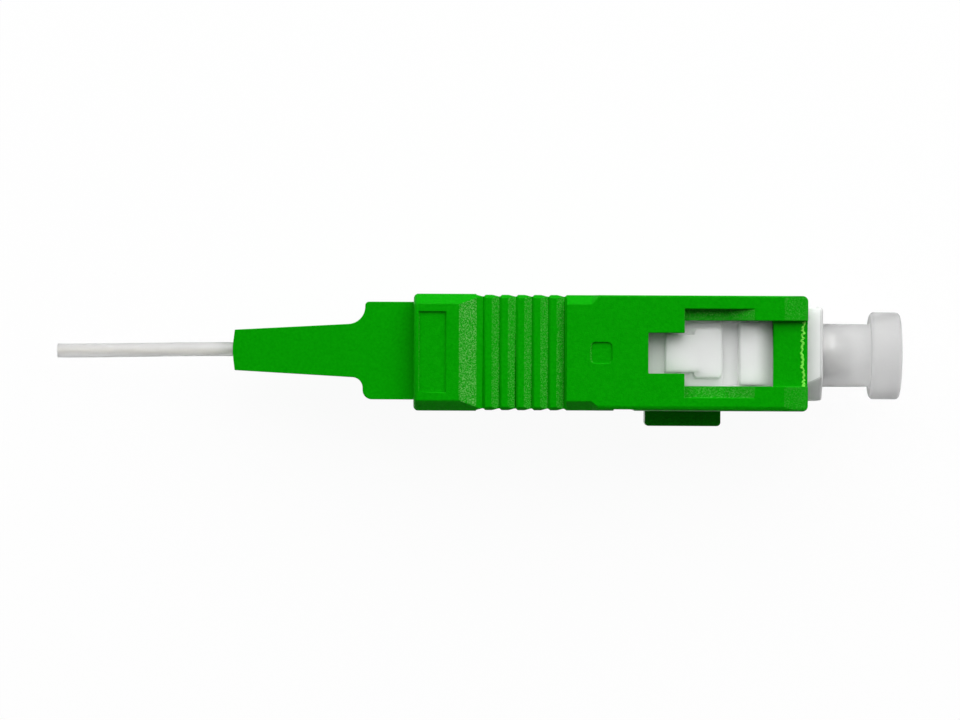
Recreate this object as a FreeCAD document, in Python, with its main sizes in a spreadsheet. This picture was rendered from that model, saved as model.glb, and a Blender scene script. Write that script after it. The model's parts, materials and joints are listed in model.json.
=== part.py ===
import FreeCAD, Part
import math
import os
import types

import Sketcher

# SC push-pull fibre plug with an angled (green) housing, a stub of 0.9 mm buffered fibre and a dust cap.
# Row frame, millimetres: +X along the ferrule towards its tip, origin on the ferrule's axis at the front
# face of the inner housing, +Z out of the upper latch window, the key points to -Y.

SIZES = {
    # Outer housing: the push-pull sleeve. Distances along it are measured back from its front face.
    "housing_length": 25.25,
    "housing_width": 7.4,
    "housing_height": 9.0,
    "nose_reveal": 1.06,
    "push_travel": 1.2,
    "pull_travel": 1.0,
    "lead_in_length": 1.53,
    "lead_in_drop": 0.12,
    "front_corner_radius": 0.36,
    "edge_radius": 0.35,
    "plain_edge_radius": 0.12,
    "rear_edge_radius": 0.3,
    "bridge_length": 2.2,
    "bridge_depth": 0.5,
    "window_width": 4.2,
    "window_end": 7.9,
    "slot_width": 2.6,
    "slot_end": 10.22,
    "channel_width": 5.7,
    "ledge_depth": 0.7,
    "ramp_top": 3.38,
    "ramp_foot": 5.33,
    "bevel": 0.6,
    "bevel_lead": 1.61,
    "bevel_run_out": 0.5,
    "mark_lead": 2.24,
    "mark_side": 1.35,
    "mark_corner": 0.3,
    "mark_depth": 0.12,
    "rear_land": 2.95,
    "rear_land_step": 0.05,
    "grip_depth": 0.4,
    "grip_slope": 1.06,
    "rib_count": 5,
    "rib_top": 0.46,
    "groove_flank": 0.4,
    "groove_root": 0.1,
    "groove_steep": 0.08,
    "groove_depth": 0.15,
    "side_groove_depth": 0.11,
    "label_inset": 0.33,
    "label_width": 1.74,
    "label_length": 5.19,
    "label_depth": 0.15,
    "key_place": 5.42,
    "key_length": 4.9,
    "key_height": 1.0,
    "key_width": 2.4,
    "key_corner": 0.25,
    "notch_place": 11.14,
    "notch_length": 1.28,
    "notch_depth": 0.09,
    "wall_gap": 0.07,
    "face_gap": 0.05,
    "relief_gap": 0.08,
    "stop_gap": 0.05,
    "boot_gap": 0.1,
    "boot_end_gap": 0.3,
    # Inner housing: carries the latch shoulders. Distances are measured back from its front face.
    "plug_length": 20.5,
    "plug_width": 6.06,
    "plug_height": 6.1,
    "nose_taper": 0.05,
    "nose_taper_length": 0.5,
    "nose_edge_radius": 0.2,
    "nose_chamfer_width": 1.54,
    "nose_chamfer_height": 1.1,
    "nose_chamfer_length": 3.6,
    "shoulder_place": 3.36,
    "shoulder_ramp": 1.04,
    "shoulder_top": 0.96,
    "shoulder_drop": 0.1,
    "shoulder_rise": 0.37,
    "shoulder_width": 4.1,
    "hook_pocket_length": 1.05,
    "hook_pocket_depth": 0.3,
    "pad_length": 1.83,
    "pad_width": 3.2,
    "pad_rise": 0.25,
    "pad_corner": 0.3,
    "rail_length": 2.2,
    "rail_overlap": 0.38,
    "rail_width": 2.4,
    "rail_rise": 0.38,
    "nose_bore": 4.9,
    "nose_bore_depth": 5.2,
    "web_thickness": 1.0,
    "web_gap": 0.3,
    "chamber_bore": 5.0,
    "lug_length": 1.4,
    "lug_width": 0.9,
    "bump_place": 12.0,
    "bump_length": 1.5,
    "bump_width": 1.8,
    "bump_height": 0.22,
    # Ferrule, its flange and the spring behind it.
    "ferrule_diameter": 2.5,
    "ferrule_length": 10.5,
    "ferrule_reach": 1.6,
    "tip_chamfer_length": 0.7,
    "tip_chamfer_height": 0.4,
    "polish_angle": 8,
    "entry_cone_length": 1.2,
    "entry_cone_diameter": 0.9,
    "collar_diameter": 4.6,
    "collar_length": 2.5,
    "collar_chamfer": 0.4,
    "collar_notch_depth": 0.55,
    "notch_gap": 0.1,
    "hub_diameter": 3.3,
    "hub_length": 1.0,
    "ferrule_seat": 2.7,
    "tail_diameter": 2.2,
    "tail_length": 5.3,
    "ferrule_travel": 1.2,
    "spring_wire": 0.45,
    "spring_diameter": 3.95,
    "spring_turns": 5,
    # Stop ring behind the spring, and the tube that guides the fibre through it.
    "ring_insert": 5.0,
    "ring_gap": 0.08,
    "ring_bore": 2.8,
    "tail_room": 2.5,
    "tube_bore": 2.0,
    "ring_flange_diameter": 5.8,
    "ring_flange_length": 0.7,
    "barrel_diameter": 4.4,
    "barrel_length": 5.8,
    "barrel_groove_count": 3,
    "barrel_groove_pitch": 1.6,
    "barrel_groove_width": 0.6,
    "barrel_groove_depth": 0.2,
    "ear_place": 1.7,
    "ear_length": 1.3,
    "ear_width": 2.2,
    "ear_reach": 2.9,
    "ear_gap": 0.1,
    "tube_wall": 0.42,
    # Boot.
    "seat_gap": 0.03,
    "boot_width": 6.28,
    "boot_height": 6.4,
    "boot_reveal": 3.28,
    "boot_step_slip": 0.15,
    "plain_shoulder_radius": 0.25,
    "plain_hollow_radius": 1.12,
    "key_shoulder_radius": 0.6,
    "key_hollow_radius": 0.68,
    "neck_root_width": 3.52,
    "neck_length": 8.47,
    "neck_tail_width": 2.62,
    "neck_tail_height": 3.4,
    "neck_tail_bulge": 0.17,
    "neck_tail_round": 5.0,
    "boot_brow_radius": 18.0,
    "barrel_gap": 0.05,
    "boot_fibre_gap": 0.1,
    # Fibre: bare stub behind the boot, and its three layers.
    "stub_length": 11.4,
    "buffer_diameter": 0.9,
    "coating_diameter": 0.25,
    "glass_diameter": 0.125,
    "layer_gap": 0.01,
    "buffer_start": 0.5,
    "coating_start": 0.05,
    "buffer_gap": 0.04,
    # Dust cap.
    "cap_stem_diameter": 4.14,
    "cap_stem_draft": 0.04,
    "cap_stem_inside": 3.5,
    "cap_stem_outside": 3.21,
    "cap_head_diameter": 5.64,
    "cap_head_length": 2.08,
    "cap_head_chamfer": 0.2,
    "cap_crown": 0.08,
    "cap_bore_gap": 0.02,
    "cap_tip_gap": 0.4,
    "cap_chamfer": 0.25,
}

CUT_MARGIN = 1.0
WIRE_SIDES = 6
LONG_EDGES = ((1, 1), (-1, 1), (-1, -1), (1, -1))


class Size:
    """A length that carries its value and the spreadsheet expression that gives it."""

    def __init__(self, value, text):
        self.value = value
        self.text = text

    def __add__(self, other):
        other = as_size(other)
        return Size(self.value + other.value, f"({self.text} + {other.text})")

    def __sub__(self, other):
        other = as_size(other)
        return Size(self.value - other.value, f"({self.text} - {other.text})")

    def __mul__(self, factor):
        factor = as_size(factor)
        return Size(self.value * factor.value, f"({self.text} * {factor.text})")

    def __truediv__(self, divisor):
        return Size(self.value / divisor, f"({self.text} / {divisor})")

    def __neg__(self):
        return Size(-self.value, f"(-{self.text})")


def as_size(number):
    return number if isinstance(number, Size) else Size(float(number), repr(float(number)))


document = FreeCAD.newDocument("sc_fibre_plug")
sheet = document.addObject("Spreadsheet::Sheet", "Sizes")
for row, (name, number) in enumerate(SIZES.items(), start=1):
    sheet.set(f"A{row}", name)
    sheet.set(f"B{row}", str(number))
    sheet.setAlias(f"B{row}", name)
document.recompute()
size = types.SimpleNamespace(**{name: Size(float(sheet.get(name)), f"Sizes.{name}") for name in SIZES})


# ---------------------------------------------------------------- sketch and feature helpers

def bind(thing, path, length):
    """Tie one property to the sheet."""
    thing.setExpression(path, as_size(length).text)


def new_body(label, place=0.0):
    """A body whose own origin lies on the plug's axis, place along +X."""
    body = document.addObject("PartDesign::Body", label)
    body.Label = label
    body.Placement.Base.x = as_size(place).value
    bind(body, "Placement.Base.x", place)
    return body


def new_sketch(body, name, plane, offset):
    sketch = body.newObject("Sketcher::SketchObject", name)
    support = next(item for item in body.Origin.OriginFeatures if item.Role == plane + "_Plane")
    sketch.AttachmentSupport = [(support, "")]
    sketch.MapMode = "FlatFace"
    if offset is not None:
        sketch.AttachmentOffset = FreeCAD.Placement(
            FreeCAD.Vector(0, 0, as_size(offset).value), FreeCAD.Rotation())
        bind(sketch, "AttachmentOffset.Base.z", offset)
    return sketch


def tie_point(sketch, geometry, position, across, up):
    """Fix a point of the sketch at sizes from the sketch's origin."""
    for kind, length, axis in (("DistanceX", across, -2), ("DistanceY", up, -1)):
        if length.text == "0.0":
            sketch.addConstraint(Sketcher.Constraint("PointOnObject", geometry, position, axis))
        else:
            index = sketch.addConstraint(
                Sketcher.Constraint(kind, -1, 1, geometry, position, length.value))
            bind(sketch, f"Constraints[{index}]", length)


def add_loop(sketch, corners):
    """A closed outline of lines through corners (x, y) or, where a corner is round, (x, y, radius)."""
    points = [(as_size(corner[0]), as_size(corner[1])) for corner in corners]
    flat = [FreeCAD.Vector(across.value, up.value, 0) for across, up in points]
    radii = [as_size(corner[2]) if len(corner) > 2 else None for corner in corners]
    count = len(corners)
    cuts = []
    for index in range(count):
        back = (flat[index - 1] - flat[index]).normalize()
        ahead = (flat[(index + 1) % count] - flat[index]).normalize()
        half_angle = back.getAngle(ahead) / 2
        setback = radii[index].value / math.tan(half_angle) if radii[index] else 0.0
        cuts.append((flat[index] + back * setback, flat[index] + ahead * setback, back + ahead, half_angle))
    lines = []
    for index in range(count):
        start = cuts[index][1]
        finish = cuts[(index + 1) % count][0]
        lines.append(sketch.addGeometry(Part.LineSegment(start, finish)))
    for index in range(count):
        before = lines[index - 1]
        after = lines[index]
        across, up = points[index]
        radius = radii[index]
        if radius is None:
            sketch.addConstraint(Sketcher.Constraint("Coincident", before, 2, after, 1))
            tie_point(sketch, after, 1, across, up)
            continue
        start, finish, inward, half_angle = cuts[index]
        centre = flat[index] + inward.normalize() * (radius.value / math.sin(half_angle))
        turn = (start - centre).cross(finish - centre).z
        first, last = (1, 2) if turn > 0 else (2, 1)
        low, high = (start, finish) if turn > 0 else (finish, start)
        angles = [math.atan2(end.y - centre.y, end.x - centre.x) for end in (low, high)]
        round_corner = Part.Circle(centre, FreeCAD.Vector(0, 0, 1), radius.value)
        arc = sketch.addGeometry(Part.ArcOfCircle(round_corner, angles[0], angles[1]))
        corner = sketch.addGeometry(Part.Point(flat[index]), True)
        sketch.addConstraint(Sketcher.Constraint("Tangent", before, 2, arc, first))
        sketch.addConstraint(Sketcher.Constraint("Tangent", arc, last, after, 1))
        sketch.addConstraint(Sketcher.Constraint("PointOnObject", corner, 1, before))
        sketch.addConstraint(Sketcher.Constraint("PointOnObject", corner, 1, after))
        tie_point(sketch, corner, 1, across, up)
        tied = sketch.addConstraint(Sketcher.Constraint("Radius", arc, radius.value))
        bind(sketch, f"Constraints[{tied}]", radius)


def outline(body, name, plane, loops, offset=None):
    """A sketch of one or more closed outlines on one of the body's origin planes."""
    sketch = new_sketch(body, name, plane, offset)
    for corners in loops:
        add_loop(sketch, corners)
    return sketch


def box_corners(low_x, low_y, high_x, high_y, radius=None):
    corners = [(low_x, low_y), (high_x, low_y), (high_x, high_y), (low_x, high_y)]
    return corners if radius is None else [corner + (radius,) for corner in corners]


def mirrored(corners):
    """The same outline on the other side of the sketch's X axis."""
    return [(corner[0], -as_size(corner[1])) + tuple(corner[2:]) for corner in corners]


def feature(body, kind, name, sketch, length=None, symmetric=False, backwards=False):
    """A pad or pocket of a sketch, checked to add or to cut."""
    before = body.Shape.Volume if body.Tip else 0.0
    made = body.newObject("PartDesign::" + kind, name)
    made.Profile = sketch
    made.Reversed = backwards
    if symmetric:
        made.SideType = "Symmetric"
    if length is not None:
        made.Length = as_size(length).value
        bind(made, "Length", length)
    document.recompute()
    check_change(body, kind, name, before)
    return made


def revolve(body, kind, name, corners):
    """A turned form: the outline in the XZ plane, spun about the plug's axis."""
    before = body.Shape.Volume if body.Tip else 0.0
    sketch = outline(body, name + "_outline", "XZ", [corners])
    made = body.newObject("PartDesign::" + kind, name)
    made.Profile = sketch
    made.ReferenceAxis = (sketch, ["H_Axis"])
    made.Angle = 360.0
    document.recompute()
    check_change(body, kind, name, before)
    return made


def check_change(body, kind, name, before):
    change = body.Shape.Volume - before
    cutting = kind in ("Pocket", "Groove", "SubtractiveLoft")
    if (change > 0) == cutting or abs(change) < 1e-6:
        raise RuntimeError(f"{body.Label}: {name} changed the volume by {change:.5f}")


def round_edges(body, name, radius, wanted):
    """A fillet on the edges whose centre and direction the test accepts."""
    shape = body.Tip.Shape
    names = []
    for number, edge in enumerate(shape.Edges, start=1):
        direction = edge.tangentAt(edge.FirstParameter)
        if wanted(edge.CenterOfMass, direction, edge):
            names.append(f"Edge{number}")
    if not names:
        raise RuntimeError(f"{body.Label}: {name} found no edge")
    made = body.newObject("PartDesign::Fillet", name)
    made.Base = (body.Tip if body.Tip != made else made.BaseFeature, names)
    made.Radius = radius.value
    bind(made, "Radius", radius)
    document.recompute()
    return made


def near(one, other, slack=1e-4):
    return abs(one - other) < slack


# ---------------------------------------------------------------- places that several pieces share

ferrule_tip = size.ferrule_reach
ferrule_rear = ferrule_tip - size.ferrule_length
collar_front = ferrule_rear + size.ferrule_seat
collar_rear = collar_front - size.collar_length
ring_front = -size.plug_length + size.ring_insert
spring_length = collar_rear - ring_front
tail_rear = collar_rear - size.hub_length - size.tail_length
bore_end = tail_rear - size.ferrule_travel - size.tail_room
barrel_rear = -size.plug_length - size.ring_flange_length - size.barrel_length
boot_front = -size.plug_length - size.ring_flange_length - size.seat_gap
housing_front = -size.nose_reveal
housing_rear = housing_front - size.housing_length
boot_shoulder_place = housing_rear - size.boot_reveal
boot_tail = boot_shoulder_place - size.neck_length
fibre_end = boot_tail - size.stub_length
shoulder_end = size.shoulder_place + size.shoulder_ramp + size.shoulder_top
pocket_start = shoulder_end + size.shoulder_drop
pad_start = pocket_start + size.hook_pocket_length
pad_end = pad_start + size.pad_length
rail_start = pad_end - size.rail_overlap
rail_end = rail_start + size.rail_length
half_plug_height = size.plug_height / 2
half_plug_width = size.plug_width / 2


# ---------------------------------------------------------------- outer housing

def outer_housing():
    """Push-pull sleeve: latch windows with cam ramps, grip ribs, key, and the bore for the inner housing."""
    body = new_body("outer_housing", housing_front)
    half_height = size.housing_height / 2
    half_width = size.housing_width / 2
    rear = -size.housing_length
    over = half_height + CUT_MARGIN

    groove_length = size.groove_flank + size.groove_root + size.groove_steep
    pitch = groove_length + size.rib_top
    grip_rear = rear + size.rear_land + size.grip_slope
    grip_front = grip_rear + pitch * size.rib_count + groove_length
    bevel_front = grip_front + size.bevel_lead

    side = [
        (0.0, -half_height + size.lead_in_drop), (0.0, half_height - size.lead_in_drop),
        (-size.lead_in_length, half_height), (rear, half_height),
        (rear, -half_height), (-size.lead_in_length, -half_height),
    ]
    sketch = outline(body, "side_outline", "XZ", [side])
    feature(body, "Pad", "block", sketch, size.housing_width, symmetric=True)
    width_y = half_width.value
    round_edges(body, "front_corners", size.front_corner_radius,
                lambda centre, way, edge: near(centre.x, 0) and near(abs(centre.y), width_y))
    half_rear = half_width + size.rear_land_step
    sketch = outline(body, "rear_land_outline", "XY", [box_corners(rear, -half_rear, grip_rear, half_rear)])
    feature(body, "Pad", "rear_land", sketch, size.housing_height, symmetric=True)

    # Rounded long edges, then bevels from the rear to just ahead of the grip, each with a short run-out.
    # The edges beside the key are rounder than the ones on the plain side.
    radius = {1: size.plain_edge_radius, -1: size.edge_radius}
    corners = []
    for across, up in LONG_EDGES:
        corners.append(round_corner(half_width, half_height, across, up, radius[across]))
    sketch = outline(body, "edge_outline", "YZ", corners, offset=CUT_MARGIN)
    feature(body, "Pocket", "long_edges", sketch, -grip_front + CUT_MARGIN)
    corners = []
    for across, up in LONG_EDGES:
        corners.append(bevel_corner(half_width, half_height, across, up, size.bevel, CUT_MARGIN / 2))
    sketch = outline(body, "bevel_outline", "YZ", corners, offset=bevel_front)
    feature(body, "Pocket", "bevels", sketch, size.housing_length)
    for number, (across, up) in enumerate(LONG_EDGES, start=1):
        wide = bevel_corner(half_width, half_height, across, up, size.bevel)
        fine = bevel_corner(half_width, half_height, across, up, radius[across] / 2)
        before = body.Shape.Volume
        start = outline(body, f"run_out_start_{number}", "YZ", [wide], offset=bevel_front)
        finish = outline(body, f"run_out_end_{number}", "YZ", [fine],
                         offset=bevel_front + size.bevel_run_out)
        loft = body.newObject("PartDesign::SubtractiveLoft", f"bevel_run_out_{number}")
        loft.Profile = start
        loft.Sections = [finish]
        document.recompute()
        check_change(body, "SubtractiveLoft", loft.Name, before)

    rear_x = rear.value
    round_edges(body, "rear_edges", size.rear_edge_radius,
                lambda centre, way, edge: near(centre.x, rear_x))

    # Grip: a lowered floor with a slope at its rear, crossed by ratchet-shaped grooves.
    floor = half_height - size.grip_depth
    grip = [
        (grip_rear - size.grip_slope, half_height), (grip_rear, floor), (grip_front, floor),
        (grip_front, over), (grip_rear - size.grip_slope, over),
    ]
    sketch = outline(body, "grip_outline", "XZ", [grip, mirrored(grip)])
    feature(body, "Pocket", "grip_floor", sketch, size.housing_width + 2 * CUT_MARGIN, symmetric=True)

    groove = groove_corners(grip_rear, floor, size.groove_depth)
    sketch = outline(body, "groove_outline", "XZ", [groove, mirrored(groove)])
    face_groove = feature(body, "Pocket", "face_groove", sketch,
                          size.housing_width + 2 * CUT_MARGIN, symmetric=True)
    side_groove = groove_corners(grip_rear, half_width, size.side_groove_depth)
    sketch = outline(body, "side_groove_outline", "XY", [side_groove, mirrored(side_groove)])
    edge_groove = feature(body, "Pocket", "side_groove", sketch,
                          size.housing_height + 2 * CUT_MARGIN, symmetric=True)
    before = body.Shape.Volume
    pattern = body.newObject("PartDesign::LinearPattern", "grooves")
    pattern.Originals = [face_groove, edge_groove]
    pattern.Direction = (sketch, ["H_Axis"])
    pattern.Mode = "Spacing"
    pattern.Offset = pitch.value
    bind(pattern, "Offset", pitch)
    pattern.Occurrences = int(size.rib_count.value) + 1
    bind(pattern, "Occurrences", size.rib_count + 1)
    body.Tip = pattern
    document.recompute()
    check_change(body, "Pocket", "grooves", before)

    # Latch windows: open channel with cam ramps, bridge at the front, wide window and narrow slot.
    ramp = [
        (-size.ramp_top, half_height), (-size.ramp_foot, half_height - size.ledge_depth),
        (-size.window_end, half_height - size.ledge_depth), (-size.window_end, over),
        (-size.ramp_top, over),
    ]
    sketch = outline(body, "ramp_outline", "XZ", [ramp, mirrored(ramp)])
    feature(body, "Pocket", "cam_ramps", sketch, size.channel_width, symmetric=True)
    bridge = box_corners(-size.bridge_length, half_height - size.bridge_depth, CUT_MARGIN, over)
    sketch = outline(body, "bridge_outline", "XZ", [bridge, mirrored(bridge)])
    feature(body, "Pocket", "bridge_floor", sketch, size.window_width, symmetric=True)
    half_window = size.window_width / 2
    half_slot = size.slot_width / 2
    window = [
        (-size.bridge_length, -half_window), (-size.bridge_length, half_window),
        (-size.window_end, half_window), (-size.window_end, half_slot),
        (-size.slot_end, half_slot), (-size.slot_end, -half_slot),
        (-size.window_end, -half_slot), (-size.window_end, -half_window),
    ]
    sketch = outline(body, "window_outline", "XY", [window])
    feature(body, "Pocket", "latch_windows", sketch, size.housing_height + 2 * CUT_MARGIN, symmetric=True)

    # Bore for the inner housing, relieved where the shoulders pass, and wider at the rear for the boot.
    bore_y = half_plug_width + size.wall_gap
    bore_z = half_plug_height + size.face_gap
    relief_y = size.shoulder_width / 2 + size.relief_gap
    relief_z = half_plug_height + size.rail_rise + size.relief_gap
    section = [
        (bore_y, -bore_z), (bore_y, bore_z), (relief_y, bore_z), (relief_y, relief_z),
        (-relief_y, relief_z), (-relief_y, bore_z), (-bore_y, bore_z), (-bore_y, -bore_z),
        (-relief_y, -bore_z), (-relief_y, -relief_z), (relief_y, -relief_z), (relief_y, -bore_z),
    ]
    sketch = outline(body, "bore_outline", "YZ", [section], offset=CUT_MARGIN)
    feature(body, "Pocket", "bore", sketch, size.housing_length + 2 * CUT_MARGIN)
    recess_place = boot_front - housing_front + size.pull_travel + size.boot_end_gap
    recess = box_corners(-size.boot_width / 2 - size.boot_gap, -size.boot_height / 2 - size.boot_gap,
                         size.boot_width / 2 + size.boot_gap, size.boot_height / 2 + size.boot_gap)
    sketch = outline(body, "boot_recess_outline", "YZ", [recess], offset=recess_place)
    feature(body, "Pocket", "boot_recess", sketch, size.housing_length)

    # Blind slots in the side walls: the inner housing's bumps stop at their ends.
    slot_front = -(size.bump_place - size.nose_reveal - size.pull_travel - size.stop_gap)
    slot_rear = -(size.bump_place + size.bump_length - size.nose_reveal + size.push_travel + size.stop_gap)
    slot_z = size.bump_width / 2 + size.wall_gap
    slot_y = half_plug_width + size.bump_height + size.wall_gap
    sketch = outline(body, "stop_slot_outline", "XZ", [box_corners(slot_rear, -slot_z, slot_front, slot_z)])
    feature(body, "Pocket", "stop_slots", sketch, slot_y * 2, symmetric=True)

    # Key and a shallow notch on the lower side, and the two shallow recesses of the upper face.
    notch = box_corners(-size.notch_place - size.notch_length, -half_width - CUT_MARGIN,
                        -size.notch_place, -half_width + size.notch_depth)
    sketch = outline(body, "notch_outline", "XY", [notch])
    feature(body, "Pocket", "side_notch", sketch, size.housing_height + 2 * CUT_MARGIN, symmetric=True)
    key_front = -size.key_place
    key_rear = key_front - size.key_length
    key_foot = -half_width - size.key_height
    key = [
        (key_front, -half_width + size.wall_gap), (key_front, key_foot, size.key_corner),
        (key_rear, key_foot, size.key_corner), (key_rear, -half_width + size.wall_gap),
    ]
    sketch = outline(body, "key_outline", "XY", [key])
    feature(body, "Pad", "key", sketch, size.key_width, symmetric=True)
    half_mark = size.mark_side / 2
    mark_place = grip_front + size.mark_lead
    mark = box_corners(mark_place - half_mark, -half_mark,
                       mark_place + half_mark, half_mark, size.mark_corner)
    sketch = outline(body, "mark_outline", "XY", [mark], offset=half_height)
    feature(body, "Pocket", "mark_recess", sketch, size.mark_depth)
    label_rear = rear + size.label_inset
    label = box_corners(label_rear, -size.label_length / 2,
                        label_rear + size.label_width, size.label_length / 2)
    sketch = outline(body, "label_outline", "XY", [label], offset=half_height)
    feature(body, "Pocket", "label_recess", sketch, size.label_depth)
    return body


def bevel_corner(half_width, half_height, across, up, leg, reach=0.0):
    """What a bevel takes off one long edge, as corners in the YZ plane. Reach carries it past the block."""
    corner = (half_width * across, half_height * up)
    outer = (corner[0] + CUT_MARGIN * across, corner[1] + CUT_MARGIN * up)
    inner = (corner[0] - (leg + reach) * across, corner[1] - (leg + reach) * up)
    return [
        (inner[0], corner[1] + reach * up), (inner[0], outer[1]),
        outer, (outer[0], inner[1]), (corner[0] + reach * across, inner[1]),
    ]


def round_corner(half_width, half_height, across, up, radius):
    """What a rounded long edge leaves of the block's corner, as corners in the YZ plane."""
    corner = (half_width * across, half_height * up)
    outer = (corner[0] + CUT_MARGIN * across, corner[1] + CUT_MARGIN * up)
    reach = CUT_MARGIN / 2
    return [
        corner + (radius,), (corner[0] - reach * across, corner[1]), (corner[0] - reach * across, outer[1]),
        outer, (outer[0], corner[1] - reach * up), (corner[0], corner[1] - reach * up),
    ]


def groove_corners(place, level, depth):
    """Section of one groove: gentle flank that faces forwards, narrow root, steep flank."""
    root = place + size.groove_flank
    rise = root + size.groove_root
    top = rise + size.groove_steep
    return [
        (place, level), (root, level - depth), (rise, level - depth), (top, level),
        (top, level + CUT_MARGIN), (place, level + CUT_MARGIN),
    ]


# ---------------------------------------------------------------- inner housing

def inner_housing():
    """White plug frame: nose, latch shoulders and rails on both faces, stepped bore, snap windows."""
    body = new_body("inner_housing")
    nose_y = half_plug_width - size.nose_taper
    plan = [
        (0.0, -nose_y), (0.0, nose_y), (-size.nose_taper_length, half_plug_width),
        (-size.plug_length, half_plug_width), (-size.plug_length, -half_plug_width),
        (-size.nose_taper_length, -half_plug_width),
    ]
    sketch = outline(body, "plan_outline", "XY", [plan])
    feature(body, "Pad", "frame_block", sketch, size.plug_height, symmetric=True)

    # Chamfers on the key side of the nose that die out towards the rear, then the soft front edge.
    for number, up in enumerate((1, -1), start=1):
        before = body.Shape.Volume
        ends = []
        for name, share, place in (("start", 1.0, 0.0), ("end", 0.04, -size.nose_chamfer_length)):
            chamfer = nose_chamfer(size.nose_chamfer_width * share, size.nose_chamfer_height * share, up)
            ends.append(outline(body, f"nose_chamfer_{name}_{number}", "YZ", [chamfer], offset=place))
        loft = body.newObject("PartDesign::SubtractiveLoft", f"nose_chamfer_{number}")
        loft.Profile = ends[0]
        loft.Sections = [ends[1]]
        document.recompute()
        check_change(body, "SubtractiveLoft", loft.Name, before)
    round_edges(body, "nose_edge", size.nose_edge_radius,
                lambda centre, way, edge: near(centre.x, 0))

    # Latch shoulder: ramp up from the nose, flat top, steep drop into the hook pocket.
    level = half_plug_height
    sunk = level - size.hook_pocket_depth
    top = level + size.shoulder_rise
    root = sunk - CUT_MARGIN / 4
    shoulder = [
        (-size.shoulder_place, level), (-size.shoulder_place - size.shoulder_ramp, top),
        (-shoulder_end, top), (-pocket_start, sunk), (-pocket_start, root), (-size.shoulder_place, root),
    ]
    sketch = outline(body, "shoulder_outline", "XZ", [shoulder, mirrored(shoulder)])
    feature(body, "Pad", "shoulders", sketch, size.shoulder_width, symmetric=True)
    pocket = [
        (-pad_start, sunk), (-pocket_start, sunk), (-shoulder_end, top), (-shoulder_end, top + CUT_MARGIN),
        (-pad_start, top + CUT_MARGIN),
    ]
    sketch = outline(body, "hook_pocket_outline", "XZ", [pocket, mirrored(pocket)])
    feature(body, "Pocket", "hook_pockets", sketch, size.shoulder_width, symmetric=True)
    half_pad = size.pad_width / 2
    pad = box_corners(-pad_end, -half_pad, -pad_start, half_pad, size.pad_corner)
    sketch = outline(body, "pad_outline", "XY", [pad])
    feature(body, "Pad", "pads", sketch, (level + size.pad_rise) * 2, symmetric=True)
    half_rail = size.rail_width / 2
    rail = box_corners(-rail_end, -half_rail, -rail_start, half_rail)
    sketch = outline(body, "rail_outline", "XY", [rail])
    feature(body, "Pad", "rails", sketch, (level + size.rail_rise) * 2, symmetric=True)

    # Side bumps that stop the outer housing.
    bump = [
        (-size.bump_place, half_plug_width - size.wall_gap), (-size.bump_place, half_plug_width),
        (-size.bump_place - size.bump_length / 2, half_plug_width + size.bump_height),
        (-size.bump_place - size.bump_length, half_plug_width + size.bump_height),
        (-size.bump_place - size.bump_length, half_plug_width - size.wall_gap),
    ]
    sketch = outline(body, "bump_outline", "XY", [bump, mirrored(bump)])
    feature(body, "Pad", "stop_bumps", sketch, size.bump_width, symmetric=True)

    # Stepped bore: nose bore around the ferrule, web that the flange rests on, spring chamber.
    web_front = -size.nose_bore_depth
    web_rear = collar_front
    web_bore = size.ferrule_diameter / 2 + size.web_gap
    nose = size.nose_bore / 2
    chamber = size.chamber_bore / 2
    revolve(body, "Groove", "nose_bore", [
        (CUT_MARGIN, 0.0), (CUT_MARGIN, nose), (web_front, nose), (web_front, web_bore),
        (web_rear, web_bore), (web_rear, chamber), (-size.plug_length - CUT_MARGIN, chamber),
        (-size.plug_length - CUT_MARGIN, 0.0),
    ])
    lug_low = size.collar_diameter / 2 - size.collar_notch_depth + size.notch_gap
    lug = box_corners(web_rear - size.lug_length, lug_low, web_rear + size.web_thickness / 2,
                      chamber + size.wall_gap)
    sketch = outline(body, "lug_outline", "XZ", [lug, mirrored(lug)])
    feature(body, "Pad", "key_lugs", sketch, size.lug_width, symmetric=True)

    # Snap windows through the side walls for the stop ring's ears.
    ear_front = ring_front - size.ear_place + size.ear_gap
    ear_rear = ring_front - size.ear_place - size.ear_length - size.ear_gap
    half_ear = size.ear_width / 2 + size.ear_gap
    ear_window = box_corners(ear_rear, -half_ear, ear_front, half_ear)
    sketch = outline(body, "snap_window_outline", "XZ", [ear_window])
    feature(body, "Pocket", "snap_windows", sketch, size.plug_width + CUT_MARGIN, symmetric=True)
    return body


def nose_chamfer(width, height, up):
    """What a nose chamfer takes off the key side's edge, as corners in the YZ plane."""
    edge_y = -half_plug_width
    edge_z = half_plug_height * up
    return [
        (edge_y, edge_z - height * up), (edge_y + width, edge_z), (edge_y + width, edge_z + CUT_MARGIN * up),
        (edge_y - CUT_MARGIN, edge_z + CUT_MARGIN * up), (edge_y - CUT_MARGIN, edge_z - height * up),
    ]


# ---------------------------------------------------------------- ferrule, flange and spring

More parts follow.
